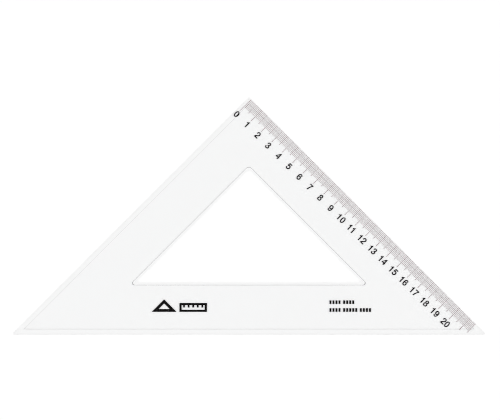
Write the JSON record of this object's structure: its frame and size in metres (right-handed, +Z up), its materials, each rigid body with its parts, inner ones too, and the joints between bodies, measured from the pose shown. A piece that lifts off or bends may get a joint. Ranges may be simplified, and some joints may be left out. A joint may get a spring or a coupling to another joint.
{
  "type": "set square",
  "caption": "Clear 45 degree drawing set square with bevelled edges, a triangular cut-out and a stamped centimetre scale along one leg.",
  "frame": {"origin": "centre of the overall footprint, on the printed underside", "axes": "+X along the long base edge towards the graduated leg, +Y from the base edge towards the right-angled corner, +Z up through the plate's thickness"},
  "size_m": [0.32, 0.1606, 0.0025],
  "materials": {
    "clear_plastic": "polished clear",
    "stamped_foil": "satin black foil"
  },
  "bodies": {
    "root": {"plate": "clear_plastic", "millimetre_ticks": "stamped_foil", "half_centimetre_ticks": "stamped_foil", "centimetre_ticks": "stamped_foil", "numeral_00": "stamped_foil", "numeral_01": "stamped_foil", "numeral_02": "stamped_foil", "numeral_03": "stamped_foil", "numeral_04": "stamped_foil", "numeral_05": "stamped_foil", "numeral_06": "stamped_foil", "numeral_07": "stamped_foil", "numeral_08": "stamped_foil", "numeral_09": "stamped_foil", "numeral_10": "stamped_foil", "numeral_11": "stamped_foil", "numeral_12": "stamped_foil", "numeral_13": "stamped_foil", "numeral_14": "stamped_foil", "numeral_15": "stamped_foil", "numeral_16": "stamped_foil", "numeral_17": "stamped_foil", "numeral_18": "stamped_foil", "numeral_19": "stamped_foil", "numeral_20": "stamped_foil", "emblem_print": "stamped_foil", "caption_print": "stamped_foil"}
  },
  "joints": []
}
